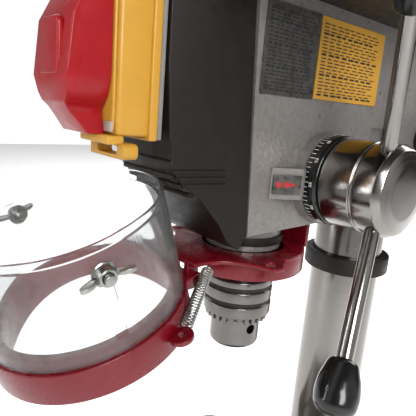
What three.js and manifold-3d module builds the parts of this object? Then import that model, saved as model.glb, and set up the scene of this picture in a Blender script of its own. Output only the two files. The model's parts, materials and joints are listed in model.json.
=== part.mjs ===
// Bench drill press with a flip-up chuck guard. Millimetres, +Z up, front towards -Y.
// The origin is on the column axis, on the underside of the base.
import * as THREE from 'three';
import { mergeVertices } from 'three/addons/utils/BufferGeometryUtils.js';
import Module from 'manifold-3d';

const wasm = await Module();
wasm.setup();

// Driving dimensions
const gap = 0.3;
const sides = 24;
const pulleySides = 16;
const beltSegments = 7;
const spindleY = -155;
const columnRadius = 33.3;
const columnWall = 4;
const columnTop = 720;
const headBottom = 582;
const headTop = 735;
const headHalfWidth = 40;
const noseBottom = 548;
const noseRadius = 28.5;
const quillRadius = 24;
const quillBottom = 552;
const quillTop = 700;
const feedY = spindleY + quillRadius + 11;
const feedZ = 618.25;
const feedShaftRadius = 10.5;
const feedBossEnd = 47;
const dialRadius = 32.5;
const baseTop = 22;
const motorY = 150;
const motorRadius = 68;
const panFloor = headTop + gap;
const panTop = 765;
const lidTop = 828;
const lidHingeX = -104;
const pulleyBottom = 744;
const pulleyStep = 13;
const spindleSteps = [62, 52, 42, 32];
const motorSteps = [32, 42, 52, 62];
const beltStep = 1;
const slideBarX = 43;
const slideBarZ = 650;
const tableTop = 300;
const tablePivotY = -60;
const tablePivotZ = 255;
const crankY = 54;
const crankZ = 240;
const switchFront = -283.5;
const switchBottom = 643.5;
const switchHalfWidth = 26;
const switchTop = 722;
const guardHinge = { y: -219.6, z: 551.3 };
const guardOpenDegrees = 161.7;
const visorRim = 477.05;
const visorTop = visorRim + 62;
const visorInner = 57.3;
const visorOuter = 59.3;
const handleX = 88;
const handleLength = 113;
const handleLeanDegrees = 13.3;
const jawTiltDegrees = 16;

const deg = THREE.MathUtils.degToRad;
const group = new THREE.Group();

// Solids
function solidFrom(geometry) {
  const plain = geometry.index ? geometry.toNonIndexed() : geometry.clone();
  plain.deleteAttribute('normal');
  plain.deleteAttribute('uv');
  const merged = mergeVertices(plain, 1e-4);
  const build = (triVerts) => new wasm.Manifold(new wasm.Mesh({
    numProp: 3,
    vertProperties: new Float32Array(merged.attributes.position.array),
    triVerts,
  }));
  const triVerts = new Uint32Array(merged.index.array);
  const solid = build(triVerts);
  return solid.volume() > 0 ? solid : build(triVerts.slice().reverse());
}

function geometryFrom(solid) {
  const mesh = solid.getMesh();
  const geometry = new THREE.BufferGeometry();
  geometry.setAttribute('position', new THREE.BufferAttribute(mesh.vertProperties, 3));
  geometry.setIndex(new THREE.BufferAttribute(mesh.triVerts, 1));
  geometry.computeVertexNormals();
  return geometry;
}

function box(x, y, z) {
  const geometry = new THREE.BoxGeometry(x[1] - x[0], y[1] - y[0], z[1] - z[0]);
  geometry.translate((x[0] + x[1]) / 2, (y[0] + y[1]) / 2, (z[0] + z[1]) / 2);
  return solidFrom(geometry);
}

// A solid turned about a vertical axis from closed [radius, z] outlines.
function turned(outline, x = 0, y = 0, count = sides) {
  const points = [...outline, outline[0]].map(([r, z]) => new THREE.Vector2(r, z));
  const geometry = new THREE.LatheGeometry(points, count);
  geometry.rotateX(Math.PI / 2);
  geometry.translate(x, y, 0);
  return solidFrom(geometry);
}

function ring(inner, outer, z0, z1, x = 0, y = 0, count = sides) {
  return turned([[inner, z0], [outer, z0], [outer, z1], [inner, z1]], x, y, count);
}

function post(radius, z0, z1, x = 0, y = 0, count = sides) {
  const geometry = new THREE.CylinderGeometry(radius, radius, z1 - z0, count);
  geometry.rotateX(Math.PI / 2);
  geometry.translate(x, y, (z0 + z1) / 2);
  return solidFrom(geometry);
}

// A round bar between two points, which may taper.
function bar(from, to, radius, endRadius = radius, count = 10) {
  const a = new THREE.Vector3(...from);
  const b = new THREE.Vector3(...to);
  const along = b.clone().sub(a);
  const geometry = new THREE.CylinderGeometry(endRadius, radius, along.length(), count);
  const turn = new THREE.Quaternion().setFromUnitVectors(new THREE.Vector3(0, 1, 0), along.normalize());
  geometry.applyQuaternion(turn);
  geometry.translate(...a.add(b).multiplyScalar(0.5).toArray());
  return solidFrom(geometry);
}

function barX(radius, x0, x1, y, z, count = 20) {
  const geometry = new THREE.CylinderGeometry(radius, radius, x1 - x0, count);
  geometry.rotateZ(Math.PI / 2);
  geometry.translate((x0 + x1) / 2, y, z);
  return solidFrom(geometry);
}

function barY(radius, y0, y1, x, z, count = 16) {
  const geometry = new THREE.CylinderGeometry(radius, radius, y1 - y0, count);
  geometry.translate(x, (y0 + y1) / 2, z);
  return solidFrom(geometry);
}

// A solid turned about the X axis through (y, z) from closed [radius, x] outlines.
function turnedX(outline, y, z, count = 20) {
  const points = [...outline, outline[0]].map(([r, x]) => new THREE.Vector2(r, x));
  const geometry = new THREE.LatheGeometry(points, count);
  geometry.rotateZ(-Math.PI / 2);
  geometry.translate(0, y, z);
  return solidFrom(geometry);
}

function shapeOf(outline, corner = 0) {
  const shape = new THREE.Shape();
  outline.forEach((point, i) => {
    const here = new THREE.Vector2(...point);
    const before = new THREE.Vector2(...outline[(i + outline.length - 1) % outline.length]);
    const after = new THREE.Vector2(...outline[(i + 1) % outline.length]);
    const reach = (end) => here.clone().add(end.sub(here).setLength(corner));
    const start = corner ? reach(before) : here;
    if (i === 0) shape.moveTo(start.x, start.y);
    else shape.lineTo(start.x, start.y);
    if (corner) {
      const end = reach(after);
      shape.quadraticCurveTo(here.x, here.y, end.x, end.y);
    }
  });
  return shape;
}

// Extrusions of an [x, y] outline along Z, and of a [y, z] outline along X.
function extrudeZ(shape, z0, z1, curveSegments = 4) {
  const geometry = new THREE.ExtrudeGeometry(shape, { depth: z1 - z0, bevelEnabled: false, curveSegments });
  geometry.translate(0, 0, z0);
  return solidFrom(geometry);
}

function extrudeX(shape, x0, x1, curveSegments = 4) {
  const geometry = new THREE.ExtrudeGeometry(shape, { depth: x1 - x0, bevelEnabled: false, curveSegments });
  const axes = [new THREE.Vector3(0, 1, 0), new THREE.Vector3(0, 0, 1), new THREE.Vector3(1, 0, 0)];
  geometry.applyMatrix4(new THREE.Matrix4().makeBasis(...axes));
  geometry.translate(x0, 0, 0);
  return solidFrom(geometry);
}

// The outline round two circles on the centre plane, as a belt or a belt cover has.
function beltShape(front, back, frontRadius, backRadius) {
  const lean = Math.asin((frontRadius - backRadius) / (back - front));
  const shape = new THREE.Shape();
  shape.absarc(0, back, backRadius, lean, Math.PI - lean, false);
  shape.absarc(0, front, frontRadius, Math.PI - lean, 2 * Math.PI + lean, false);
  shape.closePath();
  return shape;
}

function join(...solids) {
  return solids.reduce((all, one) => all.add(one));
}

function cut(solid, ...holes) {
  return holes.reduce((rest, hole) => rest.subtract(hole), solid);
}

function finish(colour, roughness, metalness) {
  return new THREE.MeshStandardMaterial({ color: colour, roughness, metalness });
}

const casting = finish('#8a8380', 0.5, 0.1);
const blackPlastic = finish('#1f1a17', 0.5, 0);
const steel = finish('#b4b4b0', 0.3, 1);
const chrome = finish('#d5d5d2', 0.12, 1);
const yellowPlastic = finish('#d09c45', 0.4, 0);
const redPlastic = finish('#a01820', 0.25, 0);
const greenPlastic = finish('#2f7a3a', 0.35, 0);
const redPaint = finish('#821019', 0.35, 0.1);
const rubber = finish('#2a2826', 0.8, 0);
const clear = finish('#dfe3e4', 0.08, 0);
const aluminium = finish('#a9abac', 0.4, 1);

function piece(name, solid, material) {
  const mesh = new THREE.Mesh(geometryFrom(solid), material);
  mesh.name = name;
  group.add(mesh);
  return mesh;
}

// Base, column and rack
function base() {
  const outline = [[-125, -285], [125, -285], [125, 75], [-125, 75]];
  const slab = extrudeZ(shapeOf(outline, 28), 0, baseTop);
  const pad = extrudeZ(shapeOf([[-90, -245], [90, -245], [90, -75], [-90, -75]], 12), baseTop - 1, baseTop + 6);
  const slots = [-50, 50].map((x) => extrudeZ(
    shapeOf([[x - 7, -220], [x + 7, -220], [x + 7, -100], [x - 7, -100]], 6.9), -1, baseTop + 7));
  const corners = [[-105, -262], [105, -262], [-105, 52], [105, 52]];
  const holes = corners.map(([x, y]) => post(6, -1, baseTop + 1, x, y, 16));
  const tapped = boltPlaces().map(([x, y]) => post(5, 6, baseTop + 1, x, y, 12));
  return cut(join(slab, pad), ...slots, ...holes, ...tapped);
}

function boltPlaces() {
  return [90, 210, 330].map((angle) => [57 * Math.cos(deg(angle)), 57 * Math.sin(deg(angle))]);
}

function columnFlange() {
  const z = baseTop + gap;
  const bore = columnRadius + gap;
  const outline = [[bore, z], [66, z], [66, z + 14], [48.5, z + 14], [47, z + 20], [45, 90], [bore, 90]];
  const holes = boltPlaces().map(([x, y]) => post(5.2, z - 1, z + 15, x, y, 12));
  return cut(turned(outline), ...holes);
}

function flangeBolt([x, y]) {
  const seat = baseTop + gap + 14 + gap;
  return join(post(4.7, 8, seat + 1, x, y, 12), post(8, seat, seat + 7, x, y, 6));
}

function rack() {
  const pitch = 26;
  const outline = [[34, 90.5], [38, 90.5]];
  for (let z = 92; z + pitch < 514; z += pitch) {
    outline.push([38, z], [42, z + pitch * 0.25], [42, z + pitch * 0.6], [38, z + pitch * 0.85]);
  }
  outline.push([38, 516], [34, 516]);
  return extrudeX(shapeOf(outline), -9, 9);
}

piece('base', base(), casting);
piece('column_flange', columnFlange(), casting);
boltPlaces().forEach((place, i) => piece(`flange_bolt_${i + 1}`, flangeBolt(place), steel));
piece('column', ring(columnRadius - columnWall, columnRadius, baseTop + gap, columnTop), steel);
piece('upper_collar', ring(columnRadius + gap, 41, 516.4, 533.1), blackPlastic);
piece('rack', rack(), steel);

// Head casting
const coverSeam = (z) => spindleY - 38 - (z - 581.5) * (7 / 109);

function headCasting() {
  const side = [[coverSeam(headBottom), headBottom - 0.5], [0, 585], [0, headTop], [coverSeam(headTop), headTop]];
  const block = extrudeX(shapeOf(side), -headHalfWidth, headHalfWidth);
  const hub = post(50, 585, headTop, 0, 0);
  const nose = post(noseRadius, noseBottom, headBottom + 2, 0, spindleY);
  const feedBoss = barX(34, 30, feedBossEnd, feedY, feedZ);
  const springBoss = barX(30, -44, -30, feedY, feedZ);
  const pad = [[38, -177], [41, -177], [51.5, -157], [51.5, -154.5], [38, -150]];
  const pointerPad = extrudeZ(shapeOf(pad), 606, 627);
  const ears = [-1, 1].map((s) => box([Math.min(s * 32, s * 54), Math.max(s * 32, s * 54)], [-40, 40], [634, 666]));
  const barHoles = [-slideBarX, slideBarX].map((x) => barY(7.3, -60, 60, x, slideBarZ));
  const pocket = box([-31, 31], [-96, -44], [645, headTop + 1]);
  const lockHole = barX(4.3, slideBarX, 60, 0, slideBarZ, 12);
  return cut(
    join(block, hub, nose, feedBoss, springBoss, pointerPad, ...ears),
    post(columnRadius + gap, 500, columnTop + 2),
    post(quillRadius + gap, 500, quillTop + 6, 0, spindleY),
    post(14, quillTop, headTop + 1, 0, spindleY),
    barX(feedShaftRadius + gap, -60, 60, feedY, feedZ, 20),
    pocket, lockHole, ...barHoles);
}

// Front cover: a shell open at the back, where it meets the casting.
function coverProfile() {
  return [
    [coverSeam(headTop) - gap, headTop], [-256, headTop], [-255.5, 683.6], [-251.8, 631], [-248.8, 624],
    [-237.6, 612.6], [-231.5, 608.8], [-215, 590.5], [-208.3, 579.4], [-199, 572.5],
    [coverSeam(headBottom) - gap, headBottom - 0.5],
  ];
}

function coverPlan(shrink) {
  const front = -262 + shrink;
  const half = 28 - shrink;
  const back = 39.8 - shrink;
  return shapeOf([[-back, -180], [-back, -193], [-half, front], [half, front], [back, -193], [back, -180]], 6);
}

function frontCover() {
  const shell = extrudeX(shapeOf(coverProfile()), -60, 60).intersect(extrudeZ(coverPlan(0), 560, 740));
  const inside = coverProfile().map(([y, z]) => [y + 3.2, z - 1]);
  inside[0][0] = -150;
  inside[1][1] = headTop - 3;
  inside[0][1] = headTop - 3;
  inside[9] = [-200, 580];
  inside[10] = [-150, 584];
  const hollow = extrudeX(shapeOf(inside), -60, 60).intersect(extrudeZ(coverPlan(3), 500, 740));
  return cut(shell, hollow);
}

function pointerPlate() {
  const plate = new THREE.BoxGeometry(1, 20, 13);
  plate.rotateZ(-Math.atan2(51.5 - 41, 177 - 157));
  plate.translate(46.25 + 0.95, -167 - 0.5, 616.2);
  return solidFrom(plate);
}

function beltPan() {
  const tray = extrudeZ(beltShape(spindleY, motorY, 98, 86), panFloor, panTop, beltSegments);
  const inside = extrudeZ(beltShape(spindleY, motorY, 95, 83), panFloor + 3, panTop + 1, beltSegments);
  const shaftSlot = beltShape(motorY - 18, motorY + 4, 21, 21);
  const lugs = [-45, 45].map((y) => join(
    box([lidHingeX, -86], [y - 9, y + 9], [panTop - 12, panTop - 1]), barY(6, y - 9, y + 9, lidHingeX, panTop)));
  return cut(
    join(tray, ...lugs), inside, post(24, panFloor - 1, panFloor + 4, 0, spindleY),
    extrudeZ(shaftSlot, panFloor - 1, panFloor + 4, 12), barY(3.2, -80, 80, lidHingeX, panTop, 12));
}

function beltLid() {
  const bottom = panTop + gap;
  const shell = join(
    extrudeZ(beltShape(spindleY, motorY, 98, 86), bottom, lidTop - 8, beltSegments),
    extrudeZ(beltShape(spindleY, motorY, 91, 79), lidTop - 9, lidTop, beltSegments));
  const inside = extrudeZ(beltShape(spindleY, motorY, 95, 83), bottom - 1, lidTop - 11, beltSegments);
  const knuckles = [-1, 1].map((side) => {
    const y0 = side > 0 ? 54.3 : -72;
    return join(
      box([lidHingeX, -86], [y0, y0 + 17.7], [panTop + 1, panTop + 12]),
      barY(6, y0, y0 + 17.7, lidHingeX, panTop));
  });
  return cut(join(shell, ...knuckles), inside, barY(3.2, -80, 80, lidHingeX, panTop, 12));
}

piece('head_casting', headCasting(), casting);
piece('front_cover', frontCover(), blackPlastic);
piece('pointer_plate', pointerPlate(), aluminium);
piece('data_label', box([40.3, 41], [-196, -144], [673, 727]), blackPlastic);
piece('warning_label', box([40.3, 41], [-143, -62], [673.6, 727]), yellowPlastic);
piece('belt_pan', beltPan(), blackPlastic);
piece('belt_lid', beltLid(), blackPlastic);
piece('lid_knob', join(
  post(4, lidTop + gap, lidTop + 8, 60, spindleY, 16), post(10, lidTop + 7, lidTop + 18, 60, spindleY, 20)), blackPlastic);
piece('nose_ring', ring(noseRadius + gap, 30.5, 567, 573, 0, spindleY), blackPlastic);
piece('cable_gland', barX(8, -52, -headHalfWidth - gap, -70, 600, 16), blackPlastic);

// Switch box on the front cover
function switchHousing() {
  const back = -262;
  const body = box([-switchHalfWidth, switchHalfWidth], [switchFront, back], [switchBottom, switchTop]);
  const flange = box([-28, 28], [back - 3, back], [switchBottom - 2, switchTop + 2]);
  const shelf = box([-6, 27], [switchFront - 5.5, back - 1], [639.2, switchBottom + 0.5]);
  const hasp = cut(box([-7, 31], [-282, -273], [631.5, 640]), box([2, 24], [-300, -260], [633.7, 638.7]));
  const hollow = box([-23, 23], [switchFront + 3, back + 1], [switchBottom + 3, switchTop - 3]);
  const buttonHoles = [-11, 11].map((x) => barY(8.3, -300, switchFront + 5, x, 690, 20));
  return cut(join(body, flange, shelf, hasp), hollow, ...buttonHoles);
}

function switchFlap() {
  const outline = [[-285, 719], [-296, 719], [-306, 700], [-309, 670], [-306, 656], [-300, 650.5],
    [-294.5, 643.6], [-289, 643.6], [-289, 652], [-290, 657], [-285, 666]];
  const hollow = [[-280, 714], [-292, 714], [-303, 699], [-306, 671], [-303, 660], [-292, 659], [-280, 669]];
  return cut(extrudeX(shapeOf(outline), -22, 22), extrudeX(shapeOf(hollow), -19, 19));
}

piece('switch_gasket', box([-27.5, 27.5], [-261.7, -256.3], [642, switchTop + 1]), finish('#c9c9c4', 0.7, 0));
piece('switch_housing', switchHousing(), yellowPlastic);
piece('switch_flap', switchFlap(), redPlastic);
piece('start_button', barY(8, switchFront - 3, switchFront + 6, -11, 690, 20), greenPlastic);
piece('stop_button', barY(8, switchFront - 5, switchFront + 6, 11, 690, 20), redPlastic);

// Quill, spindle and chuck
function quill() {
  const tube = turned([[12, 566], [17.5, 566], [17.5, quillBottom], [quillRadius, quillBottom],
    [quillRadius, quillTop], [12, quillTop]], 0, spindleY);
  return tube;
}

function spindle() {
  return turned([[0, 520], [7, 520], [8, 546], [8, 790], [0, 790]], 0, spindleY, 24);
}

// Each jaw slides in a bore that leans towards the chuck's mouth.
function jawBar(index, radius, low, high) {
  const turn = deg(90 + 120 * index);
  const lean = Math.tan(deg(jawTiltDegrees));
  const at = (z) => {
    const out = 7.2 + (z - 478) * lean;
    return [out * Math.cos(turn), spindleY + out * Math.sin(turn), z];
  };
  return bar(at(low), at(high), radius, radius, 12);
}

function chuckBody() {
  const body = turned([
    [0, 479.5], [18, 479.5], [19.85, 481.5], [19.85, 505], [21, 506], [21, 538.3], [23, 538.3],
    [23, 542], [20, 545], [0, 545]], 0, spindleY);
  const bores = [0, 1, 2].map((i) => jawBar(i, 3.8, 470, 510));
  const keyTurn = deg(-5);
  const keyHole = bar(
    [12 * Math.cos(keyTurn), spindleY + 12 * Math.sin(keyTurn), 495.6],
    [30 * Math.cos(keyTurn), spindleY + 30 * Math.sin(keyTurn), 495.6], 3.8, 3.8, 16);
  const socket = turned([[0, 519], [7.3, 519], [8.4, 546.5], [0, 546.5]], 0, spindleY, 24);
  return cut(body, post(6.6, 470, 512, 0, spindleY, 24), socket, keyHole, ...bores);
}

function chuckSleeve() {
  const inner = 21 + gap;
  const sleeve = turned([
    [inner, 508], [27, 508], [27, 516.6], [25.8, 516.6], [25.8, 520.4], [27, 520.4],
    [27, 528.5], [25.8, 528.5], [25.8, 532.5], [27, 532.5], [27, 538], [inner, 538]], 0, spindleY);
  const skirt = turned([[inner, 502.6], [24.8, 502.6], [26, 508.5], [inner, 508.5]], 0, spindleY);
  const toothCount = 12;
  const notches = [];
  for (let i = 0; i < toothCount; i += 1) {
    const turn = (2 * Math.PI * i) / toothCount;
    const at = (r) => [r * Math.cos(turn), spindleY + r * Math.sin(turn), 502];
    notches.push(bar(at(19), at(30), 2.2, 2.6, 4));
  }
  return cut(join(sleeve, skirt), ...notches);
}

piece('quill', quill(), steel);
piece('quill_bearing', ring(8 + gap, 17.2, 552.5, 565.7, 0, spindleY), steel);
piece('spindle', spindle(), steel);
piece('chuck_body', chuckBody(), steel);
piece('chuck_sleeve', chuckSleeve(), steel);
[0, 1, 2].forEach((i) => piece(`chuck_jaw_${i + 1}`, jawBar(i, 3.4, 479, 504), steel));

// Feed shaft, hub, handles, depth ring and return spring cap
function handleTurn(index) {
  return deg(-123.2 + 120 * index);
}

function feedHub() {
  const hub = turnedX([
    [0, 58.8], [31, 58.8], [31, 83], [29.4, 83], [29.4, 84.2], [31, 84.2], [31, 100], [24, 106], [0, 106]],
    feedY, feedZ);
  const sockets = [0, 1, 2].map((i) => handleBar(i, 5.3, 12, 45));
  return cut(hub, barX(feedShaftRadius + gap, 50, 80, feedY, feedZ, 20), ...sockets);
}

function handleBar(index, radius, from, to, endRadius = radius) {
  const turn = handleTurn(index);
  const out = Math.sin(deg(handleLeanDegrees));
  const round = Math.cos(deg(handleLeanDegrees));
  const at = (r) => [handleX + r * out, feedY + r * round * Math.cos(turn), feedZ + r * round * Math.sin(turn)];
  return bar(at(from), at(to), radius, endRadius, 10);
}

function handleKnob(index) {
  const end = handleLength;
  return join(
    handleBar(index, 9, end + gap, end + 12, 13),
    handleBar(index, 13, end + 11.9, end + 24, 13),
    handleBar(index, 13, end + 23.9, end + 32, 8));
}

piece('feed_shaft', barX(feedShaftRadius, -60, 79, feedY, feedZ, 20), steel);
piece('feed_hub', feedHub(), chrome);
[0, 1, 2].forEach((i) => {
  piece(`handle_rod_${i + 1}`, handleBar(i, 5, 13, handleLength), chrome);
  piece(`handle_knob_${i + 1}`, handleKnob(i), blackPlastic);
});
piece('depth_ring', turnedX([
  [feedShaftRadius + gap, 47.6], [dialRadius, 47.6], [dialRadius, 57.5], [31.5, 58.5], [feedShaftRadius + gap, 58.5]],
  feedY, feedZ, 32), blackPlastic);
piece('return_spring_cap', turnedX([
  [29.5, -44.3], [32, -44.3], [32, -60], [29, -63.5], [0, -63.5], [0, -61], [29.5, -61]],
  feedY, feedZ), casting);

// Pulleys, belt and motor
function pulleyOutline(steps, bore) {
  const outline = [];
  steps.forEach((radius, i) => {
    const z = pulleyBottom + i * pulleyStep;
    outline.push([radius, z], [radius - 6, z + pulleyStep / 2], [radius, z + pulleyStep]);
  });
  outline.push([bore, pulleyBottom + steps.length * pulleyStep], [bore, pulleyBottom]);
  return outline;
}

function driveBelt() {
  const middle = pulleyBottom + (beltStep + 0.5) * pulleyStep;
  const [front, back] = [spindleSteps[beltStep], motorSteps[beltStep]];
  const outer = extrudeZ(beltShape(spindleY, motorY, front + 3, back + 3), middle - 3, middle + 3, beltSegments);
  const inner = beltShape(spindleY, motorY, front - 1.8, back - 1.8);
  return cut(outer, extrudeZ(inner, middle - 4, middle + 4, beltSegments));
}

function motorBody() {
  const low = 566;
  return turned([
    [0, low], [56, low], [66, low + 8], [66, low + 24], [motorRadius, low + 25], [motorRadius, 700],
    [66, 701], [66, 716], [54, 724], [12, 724], [12, 720], [0, 720]], 0, motorY);
}

function motorPlate() {
  const plate = box([-55, 55], [70, 77], [600, 700]);
  const pad = cut(box([-30, 30], [76, 100], [620, 680]), post(motorRadius + gap, 500, 800, 0, motorY));
  const bars = [-slideBarX, slideBarX].map((x) => barY(7, -38, 71, x, slideBarZ, 20));
  return join(plate, pad, ...bars);
}

function motorPulley() {
  const pulley = turned(pulleyOutline(motorSteps, 0), 0, motorY, pulleySides);
  return join(pulley, post(8, 724.5, pulleyBottom + 1, 0, motorY, 20));
}

piece('spindle_pulley', turned(pulleyOutline(spindleSteps, 8 + gap), 0, spindleY, pulleySides), aluminium);
piece('motor_pulley', motorPulley(), aluminium);
piece('drive_belt', driveBelt(), rubber);
piece('motor', motorBody(), blackPlastic);
piece('motor_plate', motorPlate(), casting);
piece('tension_knob', join(
  barX(4, slideBarX + 7.5, 60, 0, slideBarZ, 12), barX(13, 55, 72, 0, slideBarZ, 16)), blackPlastic);

// Table and its bracket
function tableBracket() {
  const sleeve = post(50, 212, 272);
  const nose = box([-28, 28], [-57, -30], [222, 270]);
  const gearBox = box([-28, 28], [30, 68], [220, 262]);
  const channel = box([-9.6, 9.6], [25, 43], [200, 280]);
  return cut(
    join(sleeve, nose, gearBox), post(columnRadius + gap, 200, 280), channel,
    barX(6.4, 9, 60, crankY, crankZ, 20), barX(4.4, -60, -34, 0, crankZ, 12),
    barY(6.4, -60, -40, 0, tablePivotZ, 16));
}

function table() {
  const top = extrudeZ(shapeOf([[-110, -255], [110, -255], [110, -64], [-110, -64]], 18), tableTop - 14, tableTop);
  const ribs = join(
    box([-6, 6], [-240, -64], [tableTop - 30, tableTop - 13]), box([-95, 95], [-120, -110], [tableTop - 26, tableTop - 13]));
  const trunnion = join(
    barY(28, -75, tablePivotY + 2.7, 0, tablePivotZ), box([-28, 28], [-75, tablePivotY + 2.7], [tablePivotZ, tableTop - 13]));
  const slots = [45, 135, 225, 315].map((angle) => {
    const slot = new THREE.BoxGeometry(55, 12, 40);
    slot.translate(62, 0, tableTop);
    slot.rotateZ(deg(angle));
    slot.translate(0, -160, 0);
    return solidFrom(slot);
  });
  const pin = barY(6, tablePivotY, -45, 0, tablePivotZ, 16);
  const hole = post(11, tableTop - 40, tableTop + 1, 0, spindleY, 24);
  return cut(join(top, ribs, trunnion, pin), hole, ...slots);
}

function tableCrank() {
  const shaft = barX(6, 12, 74, crankY, crankZ, 20);
  const arm = join(
    barX(11, 66, 75, crankY, crankZ, 20), barX(8, 66, 75, crankY, crankZ - 75, 16),
    box([66, 75], [crankY - 7, crankY + 7], [crankZ - 75, crankZ]));
  return join(shaft, arm, barX(10, 74, 124, crankY, crankZ - 75, 16));
}

function tableLock() {
  return join(
    barX(4, -66, -34.2, 0, crankZ, 12), barX(9, -68, -54, 0, crankZ, 16),
    bar([-61, 0, crankZ], [-68, -48, crankZ - 20], 5, 4, 12));
}

piece('table_bracket', tableBracket(), casting);
piece('table', table(), casting);
piece('table_crank', tableCrank(), blackPlastic);
piece('table_lock', tableLock(), steel);

// Guard bracket, clamped on the casting's nose
function guardBracket() {
  const [low, high] = [560, 563];
  const edge = [[20, -70], [25, -69], [25, -59.5], [28.9, -47.3], [34.5, -41.6], [40, -35]];
  const back = [[30, 44], [-30, 44]];
  const left = edge.map(([x, y]) => [-x, y]).reverse();
  const plate = shapeOf([...edge, ...back, ...left].map(([x, y]) => [x, y + spindleY]));
  const lugs = [-1, 1].map((s) => post(11, low, high, s * 48.5, spindleY - 21.8, 14));
  const lugHoles = [-1, 1].map((s) => post(4, low - 1, high + 1, s * 50.5, spindleY - 22.5, 10));
  const skirtSweep = ring(46, 48, 547.5, high, 0, spindleY);
  const frontSpace = box([-13, 13], [spindleY - 60, spindleY - 36], [540, low]);
  const wall = box([-30, 30], [spindleY + 40, spindleY + 44], [low, 581]);
  const ears = [-1, 1].map((s) => {
    const x = [Math.min(s * 15, s * 19), Math.max(s * 15, s * 19)];
    return join(
      barX(5, x[0], x[1], guardHinge.y, guardHinge.z, 16),
      box(x, [guardHinge.y - 5, guardHinge.y + 4.2], [guardHinge.z, high]));
  });
  const solid = join(
    extrudeZ(plate, low, high), post(48, low, high, 0, spindleY), ring(noseRadius + gap, 33, 550, high, 0, spindleY),
    cut(skirtSweep, frontSpace), wall, ...lugs, ...ears);
  return cut(solid, post(noseRadius + gap, 500, 600, 0, spindleY), ...lugHoles,
    barX(2.8, -40, 40, guardHinge.y, guardHinge.z, 12));
}

const lugPlace = { x: 65.5 * Math.cos(deg(-20.6)), y: 65.5 * Math.sin(deg(-20.6)) };

// The guard is drawn closed round the chuck, then swung up about its hinge.
function swingOpen(solid) {
  const turn = new THREE.Matrix4().makeTranslation(0, guardHinge.y, guardHinge.z);
  turn.multiply(new THREE.Matrix4().makeRotationX(-deg(guardOpenDegrees)));
  turn.multiply(new THREE.Matrix4().makeTranslation(0, -guardHinge.y, -guardHinge.z));
  return solidFrom(geometryFrom(solid).applyMatrix4(turn));
}

function guardBand() {
  const at = (step) => visorRim + step;
  const ringSolid = turned([
    [49, at(57)], [54.7, at(57)], [54.7, at(62.6)], [60.5, at(62.6)], [60.5, at(82)], [58.7, at(82)],
    [58.7, at(64.6)], [51, at(64.6)], [51, at(78)], [49, at(78)]], 0, spindleY);
  const arms = [-1, 1].map((s) => {
    const x = [Math.min(s * 21.5, s * 25.5), Math.max(s * 21.5, s * 25.5)];
    return join(
      barX(5, x[0], x[1], guardHinge.y, guardHinge.z, 16),
      box(x, [guardHinge.y, spindleY - 46], [guardHinge.z - 5, guardHinge.z]));
  });
  const lugs = [-1, 1].map((s) => {
    return post(7, at(71.5), at(74.5), s * lugPlace.x, spindleY + lugPlace.y, 12);
  });
  const lugHoles = [-1, 1].map((s) => post(2, at(66), at(78), s * lugPlace.x, spindleY + lugPlace.y, 10));
  return swingOpen(cut(join(ringSolid, ...arms, ...lugs), ...lugHoles,
    barX(2.8, -40, 40, guardHinge.y, guardHinge.z, 12)));
}

const nutTurn = deg(7);
const nutZ = visorRim + 16;

// A bar pointing out from the spindle axis through the guard's wall, on the given side.
function nutBar(side, radius, from, to, z, count = 12) {
  const at = (r) => [side * r * Math.cos(nutTurn), spindleY + r * Math.sin(nutTurn), z];
  return bar(at(from), at(to), radius, radius, count);
}

function guardShield() {
  const shield = ring(55, 57, visorRim + 6, visorRim + 62.3, 0, spindleY);
  return swingOpen(cut(shield, ...[-1, 1].map((s) => nutBar(s, 3.1, 50, 62, nutZ))));
}

function guardVisor() {
  const visor = ring(visorInner, visorOuter, visorRim, visorTop, 0, spindleY);
  const slots = [-1, 1].map((side) => {
    const slot = new THREE.BoxGeometry(12, 6.2, 42);
    slot.translate(58 * side, 0, nutZ + 17);
    slot.rotateZ(side * nutTurn);
    slot.translate(0, spindleY, 0);
    return solidFrom(slot);
  });
  return swingOpen(cut(visor, ...slots));
}

function wingNut(side) {
  const axis = (r, across) => [
    side * (r * Math.cos(nutTurn) - across * Math.sin(nutTurn)),
    spindleY + r * Math.sin(nutTurn) + across * Math.cos(nutTurn), nutZ];
  const wings = [-1, 1].map((s) => bar(axis(63, s * 3), axis(68.5, s * 12.5), 2.6, 2.6, 8));
  return swingOpen(join(
    nutBar(side, 2.7, 54, 68, nutZ), nutBar(side, 5.5, visorOuter + gap, 66, nutZ, 16), ...wings));
}

function guardSpring(side) {
  const hook = [side * 26.5, spindleY - 56, 563];
  const lug = [side * lugPlace.x, spindleY - 104.3, 539.3];
  const at = (t) => hook.map((value, i) => value + (lug[i] - value) * t);
  return bar(at(0.2), at(0.62), 3.9, 3.9, 12);
}

piece('guard_bracket', guardBracket(), redPaint);
piece('guard_hinge_pin', barX(2.5, -28, 28, guardHinge.y, guardHinge.z, 12), steel);
piece('guard_band', guardBand(), redPaint);
piece('guard_shield', guardShield(), clear);
piece('guard_visor', guardVisor(), clear);
[1, -1].forEach((side, i) => {
  piece(`wing_nut_${i + 1}`, wingNut(side), steel);
  piece(`guard_spring_${i + 1}`, guardSpring(side), steel);
});

export default group;
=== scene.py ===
import json
import math

import bmesh
import bpy
from mathutils import Matrix, Vector


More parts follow.
